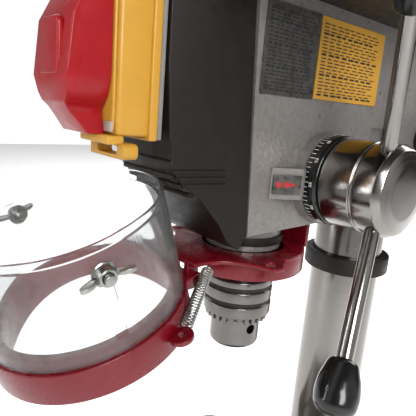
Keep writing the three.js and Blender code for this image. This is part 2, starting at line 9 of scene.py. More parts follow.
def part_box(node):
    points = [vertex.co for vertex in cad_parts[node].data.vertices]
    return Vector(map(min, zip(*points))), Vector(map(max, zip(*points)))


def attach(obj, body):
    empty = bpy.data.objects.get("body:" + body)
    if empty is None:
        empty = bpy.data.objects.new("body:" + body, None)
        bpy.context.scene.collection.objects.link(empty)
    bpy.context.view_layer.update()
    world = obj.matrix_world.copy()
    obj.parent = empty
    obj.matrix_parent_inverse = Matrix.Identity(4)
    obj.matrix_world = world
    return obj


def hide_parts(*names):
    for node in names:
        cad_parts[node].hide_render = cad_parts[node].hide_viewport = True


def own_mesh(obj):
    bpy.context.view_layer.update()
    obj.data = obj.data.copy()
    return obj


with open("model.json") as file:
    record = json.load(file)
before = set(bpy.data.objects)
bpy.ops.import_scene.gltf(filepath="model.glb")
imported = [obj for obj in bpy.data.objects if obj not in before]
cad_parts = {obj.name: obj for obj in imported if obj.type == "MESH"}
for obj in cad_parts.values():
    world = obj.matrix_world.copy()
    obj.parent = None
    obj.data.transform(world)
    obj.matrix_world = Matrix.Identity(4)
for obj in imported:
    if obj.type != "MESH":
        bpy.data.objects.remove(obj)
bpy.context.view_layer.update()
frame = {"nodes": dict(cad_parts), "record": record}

MM = 0.001
JOINTS = {j["name"]: j for j in frame["record"]["behaviour"]["joints"]}
SLEEVE_LOW, SLEEVE_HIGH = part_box("chuck_sleeve")
SPINDLE = (SLEEVE_LOW + SLEEVE_HIGH) / 2
DIAL_LOW, DIAL_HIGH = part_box("depth_ring")
DIAL = (DIAL_LOW + DIAL_HIGH) / 2
HINGE = Vector(JOINTS["guard_flip"]["pos_m"])
GUARD_SWING = math.radians(JOINTS["guard_flip"]["range_deg"][1])
FINE = 96
VISOR_RIM = 477.05
WING_NUT_TURN = math.radians(7)
LUG_TURN = math.radians(-20.6)
LUG_RADIUS = 65.5
HANDLE_LEAN = math.radians(13.3)
FIRST_HANDLE = -123.2
LID_HINGE = Vector((-0.104, 0, 0.765))
PAN_TOP = 765
SWITCH_FRONT = -283.5


# Meshes

def mesh_object(name, vertices, faces, smooth_angle=35):
    mesh = bpy.data.meshes.new(name)
    mesh.from_pydata([tuple(v) for v in vertices], [], faces)
    mesh.validate()
    edit = bmesh.new()
    edit.from_mesh(mesh)
    bmesh.ops.recalc_face_normals(edit, faces=edit.faces)
    edit.to_mesh(mesh)
    edit.free()
    obj = bpy.data.objects.new(name, mesh)
    bpy.context.collection.objects.link(obj)
    shade(obj, smooth_angle)
    return obj


def shade(obj, angle=35):
    obj.data.polygons.foreach_set("use_smooth", [True] * len(obj.data.polygons))
    obj.data.set_sharp_from_angle(angle=math.radians(angle))


def axis_matrix(origin, axis):
    turn = Vector(axis).to_track_quat("Z", "Y").to_matrix().to_4x4()
    return Matrix.Translation(origin) @ turn


def revolve(name, outline, origin, axis=(0, 0, 1), segments=FINE):
    """A closed outline of (radius, height) in mm, turned about an axis through origin."""
    place = axis_matrix(origin, axis)
    vertices = []
    rings = []
    for radius, height in outline:
        if radius < 1e-6:
            rings.append([len(vertices)])
            vertices.append(place @ Vector((0, 0, height * MM)))
            continue
        rings.append(list(range(len(vertices), len(vertices) + segments)))
        for i in range(segments):
            turn = 2 * math.pi * i / segments
            vertices.append(place @ Vector(
                (radius * MM * math.cos(turn), radius * MM * math.sin(turn), height * MM)))
    faces = []
    for low, high in zip(rings, rings[1:] + rings[:1]):
        if len(low) == 1 and len(high) == 1:
            continue
        for i in range(segments):
            j = (i + 1) % segments
            corners = [low[i % len(low)], low[j % len(low)], high[j % len(high)], high[i % len(high)]]
            faces.append(list(dict.fromkeys(corners)))
    return mesh_object(name, vertices, faces)


def rounded(outline, radius=0.6, steps=3):
    """The same closed outline in mm with each corner rounded."""
    points = []
    count = len(outline)
    for i in range(count):
        here = Vector(outline[i])
        before = Vector(outline[i - 1]) - here
        after = Vector(outline[(i + 1) % count]) - here
        reach = min(radius, before.length * 0.45, after.length * 0.45)
        if here.x < 1e-6 or reach < 1e-4:
            points.append(tuple(here))
            continue
        start = here + before.normalized() * reach
        end = here + after.normalized() * reach
        for step in range(steps + 1):
            t = step / steps
            points.append(tuple(start.lerp(here, t).lerp(here.lerp(end, t), t)))
    return points


def oblong(low_u, high_u, low_v, high_v):
    """The outline of a rectangle."""
    return [(low_u, low_v), (high_u, low_v), (high_u, high_v), (low_u, high_v)]


def turned(name, outline, origin, axis=(0, 0, 1), radius=0.6, segments=FINE):
    return revolve(name, rounded(outline, radius), origin, axis, segments)


def prism(name, outline, low, high, plane="XY", bevel=0.0, smooth_angle=35):
    """An outline in mm in the XY, YZ or XZ plane, drawn out along the third axis."""
    def at(u, v, w):
        places = {"XY": (u, v, w), "YZ": (w, u, v), "XZ": (u, w, v)}
        return Vector(places[plane]) * MM
    count = len(outline)
    vertices = [at(u, v, low) for u, v in outline] + [at(u, v, high) for u, v in outline]
    faces = [list(range(count)), list(range(2 * count - 1, count - 1, -1))]
    faces += [[i, (i + 1) % count, count + (i + 1) % count, count + i] for i in range(count)]
    obj = mesh_object(name, vertices, faces, smooth_angle)
    if bevel:
        soften(obj, bevel)
    return obj


def block(name, x, y, z, bevel=0.5):
    outline = [(x[0], y[0]), (x[1], y[0]), (x[1], y[1]), (x[0], y[1])]
    return prism(name, outline, z[0], z[1], "XY", bevel)


def settle(obj):
    """Works the modifiers into the mesh."""
    graph = bpy.context.evaluated_depsgraph_get()
    mesh = bpy.data.meshes.new_from_object(obj.evaluated_get(graph))
    obj.modifiers.clear()
    obj.data = mesh
    return obj


def soften(obj, width, segments=3, angle=38):
    bevel = obj.modifiers.new("edges", "BEVEL")
    bevel.width = width * MM
    bevel.segments = segments
    bevel.limit_method = "ANGLE"
    bevel.angle_limit = math.radians(angle)
    settle(obj)
    shade(obj, 40)
    return obj


def carve(obj, *cutters, operation="DIFFERENCE"):
    for cutter in cutters:
        step = obj.modifiers.new("carve", "BOOLEAN")
        step.operation = operation
        step.solver = "EXACT"
        step.object = cutter
        bpy.context.view_layer.update()
        settle(obj)
        bpy.data.objects.remove(cutter)
    shade(obj, 35)
    return obj


def merge(name, *parts):
    """One object holding all these meshes."""
    edit = bmesh.new()
    for part in parts:
        part.data.transform(part.matrix_world)
        edit.from_mesh(part.data)
        bpy.data.objects.remove(part)
    mesh = bpy.data.meshes.new(name)
    edit.to_mesh(mesh)
    edit.free()
    obj = bpy.data.objects.new(name, mesh)
    bpy.context.collection.objects.link(obj)
    shade(obj, 40)
    return obj


def sweep(name, points, radius, sides=8):
    """A tube of a radius in mm along points in metres."""
    vertices = []
    count = len(points)
    for i, point in enumerate(points):
        along = (points[min(i + 1, count - 1)] - points[max(i - 1, 0)]).normalized()
        side = along.cross(Vector((0.31, 0.2, 0.93))).normalized()
        other = along.cross(side)
        for k in range(sides):
            turn = 2 * math.pi * k / sides
            vertices.append(point + (side * math.cos(turn) + other * math.sin(turn)) * radius * MM)
    faces = [list(range(sides)), list(range((count - 1) * sides, count * sides))]
    for i in range(count - 1):
        for k in range(sides):
            a, b = i * sides + k, i * sides + (k + 1) % sides
            faces.append([a, b, b + sides, a + sides])
    return mesh_object(name, vertices, faces, 60)


def circle(x, y, radius, count=48, start=0.0, end=360.0):
    steps = count if end - start >= 360 else count + 1
    return [(x + radius * math.cos(math.radians(start + (end - start) * i / count)),
             y + radius * math.sin(math.radians(start + (end - start) * i / count)))
            for i in range(steps)]


# Materials

def shader(name, colour, roughness, metallic=0.0):
    made = bpy.data.materials.new(name)
    made.use_nodes = True
    surface = made.node_tree.nodes["Principled BSDF"]
    surface.inputs["Base Color"].default_value = (*colour, 1)
    surface.inputs["Roughness"].default_value = roughness
    surface.inputs["Metallic"].default_value = metallic
    return made, surface


def grain(made, scale, stretch=(1, 1, 1), detail=4.0):
    """Noise over the object's own place in the frame, in grains per metre."""
    nodes = made.node_tree.nodes
    place = nodes.new("ShaderNodeTexCoord")
    mapping = nodes.new("ShaderNodeMapping")
    mapping.inputs["Scale"].default_value = stretch
    noise = nodes.new("ShaderNodeTexNoise")
    noise.inputs["Scale"].default_value = scale
    noise.inputs["Detail"].default_value = detail
    made.node_tree.links.new(place.outputs["Object"], mapping.inputs["Vector"])
    made.node_tree.links.new(mapping.outputs["Vector"], noise.inputs["Vector"])
    return noise.outputs["Fac"]


def tint(made, surface, source, low, high, start=0.3, end=0.7):
    ramp = made.node_tree.nodes.new("ShaderNodeValToRGB")
    ramp.color_ramp.elements[0].color = (*low, 1)
    ramp.color_ramp.elements[1].color = (*high, 1)
    ramp.color_ramp.elements[0].position = start
    ramp.color_ramp.elements[1].position = end
    made.node_tree.links.new(source, ramp.inputs["Fac"])
    made.node_tree.links.new(ramp.outputs["Color"], surface.inputs["Base Color"])


def vary(made, surface, source, low, high):
    spread = made.node_tree.nodes.new("ShaderNodeMapRange")
    spread.inputs["From Min"].default_value = 0.3
    spread.inputs["From Max"].default_value = 0.7
    spread.inputs["To Min"].default_value = low
    spread.inputs["To Max"].default_value = high
    made.node_tree.links.new(source, spread.inputs["Value"])
    made.node_tree.links.new(spread.outputs["Result"], surface.inputs["Roughness"])


def raise_grain(made, surface, source, strength, height):
    bump = made.node_tree.nodes.new("ShaderNodeBump")
    bump.inputs["Strength"].default_value = strength
    bump.inputs["Distance"].default_value = height
    made.node_tree.links.new(source, bump.inputs["Height"])
    made.node_tree.links.new(bump.outputs["Normal"], surface.inputs["Normal"])


def plastic(name, colour, roughness, speckle=0.12, scale=900, bump=0.15, shine=0.5):
    made, surface = shader(name, colour, roughness)
    surface.inputs["Specular IOR Level"].default_value = shine
    darker = [c * (1 - speckle) for c in colour]
    lighter = [min(1, c * (1 + speckle)) for c in colour]
    tint(made, surface, grain(made, 60), darker, lighter)
    vary(made, surface, grain(made, 140), roughness * 0.85, roughness * 1.2)
    raise_grain(made, surface, grain(made, scale), bump, 0.0003)
    return made


def metal(name, colour, roughness, scale=60, stretch=(1, 1, 40), bump=0.06, spread=0.3):
    made, surface = shader(name, colour, roughness, 1.0)
    lines = grain(made, scale, stretch, 3)
    tint(made, surface, lines, [c * (1 - spread) for c in colour], colour, 0.25, 0.65)
    vary(made, surface, lines, roughness * 0.7, roughness * 1.4)
    raise_grain(made, surface, lines, bump, 0.0002)
    return made


def casting_paint():
    made, surface = shader("casting_paint", (0.27, 0.25, 0.235), 0.34)
    surface.inputs["Metallic"].default_value = 0.4
    tint(made, surface, grain(made, 260, detail=3), (0.205, 0.19, 0.178), (0.25, 0.233, 0.219), 0.3, 0.7)
    vary(made, surface, grain(made, 120), 0.27, 0.42)
    raise_grain(made, surface, grain(made, 300, detail=2), 0.4, 0.0009)
    return made


def clear_sheet():
    made, surface = shader("clear_sheet", (0.88, 0.885, 0.885), 0.04)
    surface.inputs["Transmission Weight"].default_value = 0.965
    surface.inputs["IOR"].default_value = 1.12
    surface.inputs["Specular IOR Level"].default_value = 0.8
    vary(made, surface, grain(made, 40), 0.03, 0.09)
    return made


PAINT = casting_paint()
BLACK = plastic("black_plastic", (0.0085, 0.0055, 0.004), 0.48, shine=0.28)
GLOSS_BLACK = plastic("gloss_black", (0.008, 0.008, 0.008), 0.16, bump=0.03)
YELLOW = plastic("yellow_plastic", (0.52, 0.27, 0.03), 0.36, 0.05)
RED = plastic("red_plastic", (0.3, 0.004, 0.008), 0.3, 0.05, bump=0.04, shine=0.35)
GREEN = plastic("green_plastic", (0.02, 0.2, 0.05), 0.25)
GUARD_RED = plastic("red_paint", (0.15, 0.002, 0.008), 0.28, 0.06, scale=500)
FOAM = plastic("gasket_foam", (0.2, 0.19, 0.18), 0.8, scale=1800, bump=0.4)
RUBBER = plastic("belt_rubber", (0.02, 0.019, 0.018), 0.7, scale=1600, bump=0.3)
INK = plastic("white_ink", (0.85, 0.85, 0.82), 0.4)
RED_INK = plastic("red_ink", (0.4, 0.008, 0.012), 0.4)
BLACK_INK = plastic("black_ink", (0.01, 0.01, 0.01), 0.45)
STEEL = metal("turned_steel", (0.2, 0.19, 0.18), 0.2, 90, (0.3, 0.3, 60), 0.03)
COLUMN_STEEL = metal("ground_steel", (0.28, 0.265, 0.25), 0.16, 70, (0.5, 0.5, 30), 0.02, 0.15)
ZINC = metal("zinc_plate", (0.42, 0.42, 0.4), 0.28, 60, (1, 1, 1), 0.02)
CHROME = metal("chrome_plate", (0.3, 0.285, 0.27), 0.17, 60, (60, 0.3, 0.3), 0.02, 0.15)
ALUMINIUM = metal("cast_aluminium", (0.5, 0.5, 0.5), 0.35, 300, (1, 1, 1))
DARK_METAL = metal("printed_metal", (0.2, 0.19, 0.18), 0.3, 200, (1, 1, 1))
PLATE_GREY = plastic("plate_grey", (0.42, 0.37, 0.32), 0.45)
PLATE_METAL = metal("pointer_metal", (0.16, 0.15, 0.14), 0.3, 200, (1, 1, 1))
CLEAR = clear_sheet()
# Near-black material that paints the shade inside recesses; it is not a colour of the part itself.
PAINTED_GROOVE_SHADE = plastic("painted_recess_shade", (0.004, 0.004, 0.004), 0.6)


def dress(obj, material, slot, body=None, *nodes):
    """Gives a new piece its material and its body, and hides the CAD nodes that it stands for."""
    obj.data.materials.clear()
    obj.data.materials.append(material)
    if body:
        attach(obj, body)
    if nodes:
        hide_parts(*nodes)
    return obj


def spin_point(origin=SPINDLE, z=0.0):
    return Vector((origin.x, origin.y, z))


# Camera, light and floor

def camera():
    yaw, pitch, roll = (math.radians(v) for v in (48.62, 12.57, 4.64))
    ahead = Vector((-math.sin(yaw) * math.cos(pitch), math.cos(yaw) * math.cos(pitch), -math.sin(pitch)))
    level = Vector((math.cos(yaw), math.sin(yaw), 0))
    upright = level.cross(ahead)
    right = level * math.cos(roll) + upright * math.sin(roll)
    up = upright * math.cos(roll) - level * math.sin(roll)
    data = bpy.data.cameras.new("camera")
    data.sensor_width = 36
    data.lens = 38.3
    data.clip_start = 0.01
    obj = bpy.data.objects.new("camera", data)
    turn = Matrix((right, up, -ahead)).transposed().to_4x4()
    obj.matrix_world = Matrix.Translation(Vector((231.8, -398.2, 661.1)) * MM) @ turn
    bpy.context.collection.objects.link(obj)
    bpy.context.scene.camera = obj


def area_light(name, place, target, size, watts):
    data = bpy.data.lights.new(name, "AREA")
    data.shape = "RECTANGLE"
    data.size, data.size_y = size
    data.energy = watts
    obj = bpy.data.objects.new(name, data)
    obj.location = place
    obj.rotation_euler = (Vector(target) - Vector(place)).to_track_quat("-Z", "Y").to_euler()
    bpy.context.collection.objects.link(obj)


def studio():
    world = bpy.data.worlds.new("studio")
    world.use_nodes = True
    background = world.node_tree.nodes["Background"]
    background.inputs["Strength"].default_value = 0.75
    around = world.node_tree.nodes.new("ShaderNodeTexCoord")
    split = world.node_tree.nodes.new("ShaderNodeSeparateXYZ")
    bands = world.node_tree.nodes.new("ShaderNodeValToRGB")
    world.node_tree.links.new(around.outputs["Generated"], split.inputs["Vector"])
    spread = world.node_tree.nodes.new("ShaderNodeMapRange")
    spread.inputs["From Min"].default_value = -1
    world.node_tree.links.new(split.outputs["X"], spread.inputs["Value"])
    world.node_tree.links.new(spread.outputs["Result"], bands.inputs["Fac"])
    world.node_tree.links.new(bands.outputs["Color"], background.inputs["Color"])
    ramp = bands.color_ramp
    ramp.elements[0].color = (0.5, 0.5, 0.5, 1)
    ramp.elements[1].color = (0.55, 0.55, 0.55, 1)
    soft_bands = ((0.16, 0.06), (0.3, 0.12), (0.4, 0.9), (0.5, 0.75), (0.6, 0.07), (0.78, 0.1), (0.9, 0.85))
    for place, level in soft_bands:
        ramp.elements.new(place).color = (level, level, level, 1)
    bright = world.node_tree.nodes.new("ShaderNodeBackground")
    bright.inputs["Color"].default_value = (1, 1, 1, 1)
    bright.inputs["Strength"].default_value = 1.1
    rays = world.node_tree.nodes.new("ShaderNodeLightPath")
    mix = world.node_tree.nodes.new("ShaderNodeMixShader")
    world.node_tree.links.new(rays.outputs["Is Camera Ray"], mix.inputs["Fac"])
    world.node_tree.links.new(background.outputs["Background"], mix.inputs[1])
    world.node_tree.links.new(bright.outputs["Background"], mix.inputs[2])
    world.node_tree.links.new(mix.outputs["Shader"], world.node_tree.nodes["World Output"].inputs["Surface"])
    bpy.context.scene.world = world
    bpy.context.scene.view_settings.view_transform = "Standard"
    floor = prism("floor", [(-6000, -6000), (6000, -6000), (6000, 6000), (-6000, 6000)], -40, -1)
    made, surface = shader("floor_paint", (0.93, 0.93, 0.93), 0.7)
    tint(made, surface, grain(made, 3), (0.92, 0.92, 0.92), (0.95, 0.95, 0.95))
    surface.inputs["Emission Color"].default_value = (1, 1, 1, 1)
    surface.inputs["Emission Strength"].default_value = 0.22
    floor.data.materials.append(made)
    head = (0, -0.15, 0.6)
    area_light("key", (1.5, -0.9, 1.3), head, (0.7, 1.1), 30)
    area_light("front", (-0.9, -1.8, 1.0), head, (0.5, 1.4), 13)
    area_light("back", (0.2, 1.8, 1.6), head, (1.4, 1.0), 22)
    area_light("floor_light", (-1.6, 1.9, 2.2), (-2.2, 2.4, 0), (4, 4), 125)


# CAD nodes that keep their shape

def keep_nodes():
    looks = {
        PAINT: ["base", "table_bracket", "table", "motor_plate", "head_casting"],
        BLACK: ["cable_gland", "tension_knob", "table_crank"],
        STEEL: ["flange_bolt_1", "flange_bolt_2", "flange_bolt_3", "rack", "quill_bearing", "feed_shaft",
                "table_lock", "guard_hinge_pin", "chuck_jaw_1", "chuck_jaw_2", "chuck_jaw_3"],
    }
    for material, names in looks.items():
        for name in names:
            node = frame["nodes"][name]
            node.data.materials.clear()
            node.data.materials.append(material)
            shade(node, 30)
            merge_flats = node.modifiers.new("flats", "DECIMATE")
            merge_flats.decimate_type = "DISSOLVE"
            merge_flats.angle_limit = math.radians(0.6)
            edges = node.modifiers.new("edges", "BEVEL")
            edges.width = (1.6 if material is PAINT else 0.4) * MM
            edges.segments = 3
            edges.limit_method = "ANGLE"
            edges.angle_limit = math.radians(40)


# Column

def column_pieces():
    axis = Vector((0, 0, 0))
    low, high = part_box("column")
    outer = high.x / MM
    tube = [(outer - 4, low.z / MM), (outer, low.z / MM), (outer, high.z / MM), (outer - 4, high.z / MM)]
    dress(turned("column_tube", tube, axis), COLUMN_STEEL, "steel", "frame", "column")
    low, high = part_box("upper_collar")
    bottom, top = low.z / MM, high.z / MM
    collar = turned("collar_ring", oblong(outer + 0.3, 41, bottom, top), axis, radius=1.5)
    screw = turned("collar_screw", [(0, 38), (3, 38), (3, 41.6), (1.4, 41.6), (1.4, 40.4), (0, 40.4)],
                   Vector((0, 0, (bottom + top) / 2 * MM)), (0.82, -0.57, 0), 0.2, 24)
    dress(merge("collar", collar, screw), BLACK, "black_plastic", "frame", "upper_collar")
    low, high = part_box("column_flange")
    z = low.z / MM
    flange = [(33.6, z), (66, z), (66, z + 14), (49, z + 14), (47, z + 20), (45, 90), (33.6, 90)]
    dress(turned("flange", flange, axis, radius=2), PAINT, "casting", "frame", "column_flange")


# Spindle, quill and chuck

def chuck_pieces():
    top = SLEEVE_HIGH.z / MM
    bottom = top - 30
    axis = spin_point()
    outline = [(21.3, bottom), (27, bottom)]
    for groove in (8.6, 20.5):
        outline += [(27, bottom + groove), (25.7, bottom + groove + 0.6),
                    (25.7, bottom + groove + 3.3), (27, bottom + groove + 3.9)]
    outline += [(27, top - 1), (26, top), (21.3, top)]
    sleeve = turned("sleeve_ring", outline, axis, radius=0.5)
    teeth = []
    tooth_count = 28
    for i in range(tooth_count):
        turn = 2 * math.pi * i / tooth_count
        place = Matrix.Translation(axis) @ Matrix.Rotation(turn, 4, "Z")
        half = 1.7
        tip = 0.9
        z = (bottom - 5.5, bottom + 0.4)
        corners = [(21.3, -tip, z[0]), (24.8, -tip, z[0]), (24.8, tip, z[0]), (21.3, tip, z[0]),
                   (21.3, -half, z[1]), (26.2, -half, z[1]), (26.2, half, z[1]), (21.3, half, z[1])]
        vertices = [place @ (Vector(c) * MM) for c in corners]
        faces = [(0, 1, 2, 3), (4, 5, 6, 7), (0, 1, 5, 4), (1, 2, 6, 5), (2, 3, 7, 6), (3, 0, 4, 7)]
        teeth.append(mesh_object("tooth", vertices, faces))
    root_outline = [(21.3, bottom - 4), (22.6, bottom - 4), (24, bottom + 0.3), (21.3, bottom + 0.3)]
    root = turned("tooth_root", root_outline, axis)
    dress(merge("keyed_sleeve", sleeve, root, *teeth), STEEL, "steel", "sleeve", "chuck_sleeve")
    # Near-black bands set into the sleeve's two grooves: painted shade in the grooves.
    bands = []
    for groove in (8.6, 20.5):
        start = bottom + groove + 0.5
        bands.append(turned("groove_shade_band", oblong(25.4, 25.9, start, start + 2.9), axis, radius=0.1))
    dress(merge("sleeve_groove_shade", *bands), PAINTED_GROOVE_SHADE, "steel", "sleeve")

    low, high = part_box("chuck_body")
    z0, z1 = low.z / MM, high.z / MM
    body = turned("chuck_core", [
        (6.6, z0), (17.2, z0), (19, z0 + 1.2), (19.85, z0 + 3.5), (19.85, z0 + 25), (21, z0 + 26),
        (21, z1 - 6.7), (23, z1 - 6.7), (23, z1 - 3), (20, z1), (8.6, z1), (8, z0 + 39),
        (6.6, z0 + 30)], axis)
    turn = math.radians(-5)
    key = turned("key_cutter", [(0, 12), (3.9, 12), (3.9, 30), (0, 30)], spin_point(z=495.6 * MM),
                 (math.cos(turn), math.sin(turn), 0), 0.01, 32)
    dress(carve(body, key), STEEL, "steel", "spindle_unit", "chuck_body")

    low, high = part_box("spindle")
    shaft = [(0, low.z / MM), (7, low.z / MM), (8, 546), (8, high.z / MM), (0, high.z / MM)]
    dress(turned("spindle_shaft", shaft, axis, segments=48), STEEL, "steel", "spindle_unit", "spindle")
    low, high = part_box("quill")
    z0, z1 = low.z / MM, high.z / MM
    outline = [(12, z0 + 14), (17.5, z0 + 14), (17.5, z0), (24, z0), (24, z1), (12, z1)]
    dress(turned("quill_tube", outline, axis), STEEL, "steel", "quill_unit", "quill")
    low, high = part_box("nose_ring")
    outline = [(28.8, low.z / MM), (30.5, low.z / MM), (30.5, high.z / MM), (28.8, high.z / MM)]
    dress(turned("nose_band", outline, axis, radius=0.4), BLACK, "black_plastic", "frame", "nose_ring")


# Guard

def swing(*objects):
    """Turns pieces drawn closed round the chuck up to where the guard rests open."""
    place = Matrix.Translation(HINGE) @ Matrix.Rotation(-GUARD_SWING, 4, "X") @ Matrix.Translation(-HINGE)
    for obj in objects:
        obj.data.transform(place)
        obj.data.update()
    return objects[0]


def slot_cutter(side, turn, low, high, width):
    """A slot with round ends, cut out from the spindle axis through the guard's wall."""
    half = width / 2
    outline = circle(0, high - half, half, 12, 0, 180) + circle(0, low + half, half, 12, 180, 360)
    vertices = []
    place = Matrix.Translation(spin_point()) @ Matrix.Rotation(turn, 4, "Z")
    for r in (50, 64):
        vertices += [place @ (Vector((r * side, u, v)) * MM) for u, v in outline]
    count = len(outline)
    faces = [list(range(count)), list(range(2 * count - 1, count - 1, -1))]
    faces += [[i, (i + 1) % count, count + (i + 1) % count, count + i] for i in range(count)]
    return mesh_object("slot_cutter", vertices, faces)


def guard_pieces():
    axis = spin_point()
    rim = VISOR_RIM
    turn = WING_NUT_TURN
    nut_z = rim + 16
    outer = turned("visor", oblong(57.3, 59.3, rim, rim + 62), axis, radius=0.7, segments=128)
    cutters = [slot_cutter(s, s * turn, nut_z - 3.1, nut_z + 40, 6.2) for s in (1, -1)]
    dress(swing(carve(outer, *cutters)), CLEAR, "clear_plastic", "visor", "guard_visor")
    inner = turned("shield", oblong(55, 57, rim + 6, rim + 62.3), axis, radius=0.7, segments=128)
    dress(swing(inner), CLEAR, "clear_plastic", "guard", "guard_shield")

    band = turned("band_ring", [
        (49, rim + 57), (54.7, rim + 57), (54.7, rim + 62.6), (60.5, rim + 62.6), (60.5, rim + 82),
        (58.7, rim + 82),
        (58.7, rim + 64.6), (51, rim + 64.6), (51, rim + 78), (49, rim + 78)], axis, radius=0.8, segments=128)
    extras = []
    hinge_y, hinge_z = HINGE.y / MM, HINGE.z / MM
    for side in (-1, 1):
        x = sorted((side * 21.5, side * 25.5))
        arm = prism("arm", [(hinge_y, hinge_z - 5), (-201, hinge_z - 5), (-201, hinge_z), (-212, hinge_z + 3),
                            (hinge_y, hinge_z + 5)], x[0], x[1], "YZ", 0.8)
        boss_end = Vector((x[0] * MM, HINGE.y, HINGE.z))
        boss = turned("arm_boss", oblong(2.7, 5, 0, 4), boss_end, (1, 0, 0))
        centre = (side * LUG_RADIUS * math.cos(LUG_TURN), axis.y / MM + LUG_RADIUS * math.sin(LUG_TURN))
        lug = prism("lug", circle(*centre, 7, 32), rim + 71.5, rim + 74.5, "XY", 0.6)
        hole = prism("hole", circle(*centre, 2.1, 24), rim + 66, rim + 78)
        extras += [arm, boss, carve(lug, hole)]
    dress(swing(merge("guard_ring", band, *extras)), GUARD_RED, "red_paint", "guard", "guard_band")

    for number, side in ((1, 1), (2, -1)):
        out = Vector((side * math.cos(turn), math.sin(turn), 0))
        round_ = Vector((-out.y, out.x, 0))
        origin = spin_point(z=nut_z * MM)
        hub_outline = [(2.9, 59.6), (6.4, 59.6), (6.4, 60.6), (5.2, 61.2), (4.4, 66), (2.9, 66)]
        hub = turned("nut_hub", hub_outline, origin, out, 0.4, 40)
        stud = turned("stud", [(0, 54), (2.7, 54), (2.7, 69), (0, 69)], origin, out, 0.5, 24)
        wings = []
        for way in (1, -1):
            outline = [(2.5, 0), (4.2, 0), (10.5, 3.6), (13.6, 7.5), (13.8, 11), (11.5, 13.2), (8, 12),
                       (5, 7.5), (2.5, 5.5)]
            smooth = rounded(outline, 3.0, 4)
            vertices = []
            for thick in (-1.2, 1.2):
                lift = Vector((0, 0, thick * MM))
                vertices += [origin + out * (60.8 + v * 0.55) * MM + round_ * way * u * MM + lift
                             for u, v in smooth]
            count = len(smooth)
            faces = [list(range(count)), list(range(2 * count - 1, count - 1, -1))]
            faces += [[i, (i + 1) % count, count + (i + 1) % count, count + i] for i in range(count)]
            wings.append(soften(mesh_object("wing", vertices, faces), 0.7))
        nut = merge(f"wing_nut_{number}_shape", hub, stud, *wings)
        dress(swing(nut), ZINC, "steel", f"nut_{number}", f"wing_nut_{number}")


def spring_pieces():
    for number in (1, 2):
        joint = JOINTS[f"guard_spring_{number}_swing"]
        hook = Vector(joint["pos_m"])
        low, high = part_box(f"guard_spring_{number}")
        middle = (low + high) / 2
        along = (middle - hook).normalized()
        length = 64.1 * MM
        across = along.cross(Vector((0, 0, 1))).normalized()
        other = along.cross(across)
        coils, steps = 21, 16
        points = [hook - along * 2 * MM + other * 3.2 * MM, hook + other * 3.4 * MM, hook + along * 5 * MM]
        for i in range(coils * steps + 1):
            turn = 2 * math.pi * i / steps
            distance = 8 * MM + (length - 16 * MM) * i / (coils * steps)
            outward = across * math.cos(turn) + other * math.sin(turn)
            points.append(hook + along * distance + outward * 3.4 * MM)
        points += [hook + along * (length - 5 * MM), hook + along * length + other * 3 * MM,
                   hook + along * (length + 3 * MM)]
        spring = sweep(f"spring_{number}_coil", points, 0.58, 8)
        dress(spring, ZINC, "steel", f"spring_{number}", f"guard_spring_{number}")
        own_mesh(spring)


def bracket_piece():
    axis = spin_point()
    y = axis.y / MM
    plate_low, plate_high = 560.0, 563.0
    edge = [(25, -69), (25, -59.5), (28.9, -47.3), (34.5, -41.6), (43, -33.6), (58, -28), (59, -20),
            (52, -11.5), (44, -6)]
    right = [(px, py + y) for px, py in edge]
    left = [(-px, py) for px, py in reversed(right)]
    rear = [(px, py) for px, py in circle(0, y, 48, 40, -5, 185)]
    plate = prism("plate", right + rear + left, plate_low, plate_high, "XY")
    holes = [prism("hole", circle(s * 50.5, y - 22.5, 4, 32), 540, 580) for s in (-1, 1)]
    centre = prism("hole", circle(0, y, 28.8, 96), 540, 580)
    plate = soften(carve(plate, centre, *holes), 0.8)
    collar = turned("collar", [(28.8, 550), (33, 550), (33, 563), (28.8, 563)], axis, radius=0.8)
    skirt_outer = circle(0, y, 48, 96, -74, 254)
    skirt_inner = circle(0, y, 45.8, 96, 254, -74)
    skirt = soften(prism("skirt", skirt_outer + skirt_inner, 547.5, 561), 0.6)
    wall = block("wall", (-30, 30), (y + 40, y + 44), (560, 581), 0.8)
    ears = []
    for side in (-1, 1):
        x = sorted((side * 15, side * 19))
        outline = circle(HINGE.y / MM, HINGE.z / MM, 5, 24, 180, 360)
        outline += [(HINGE.y / MM + 4.6, 562), (HINGE.y / MM - 5, 562)]
        ears.append(prism("ear", outline, x[0], x[1], "YZ", 0.6))
    piece = merge("guard_clamp", plate, collar, skirt, wall, *ears)
    dress(piece, GUARD_RED, "red_paint", "frame", "guard_bracket")


# Head: cover, switch, labels

def cover_half(y):
    """Half the cover's width in mm at a distance y in front of the column."""
    share = (y + 262) / (262 - 193)
    return 28 + (39.8 - 28) * min(max(share, 0), 1)


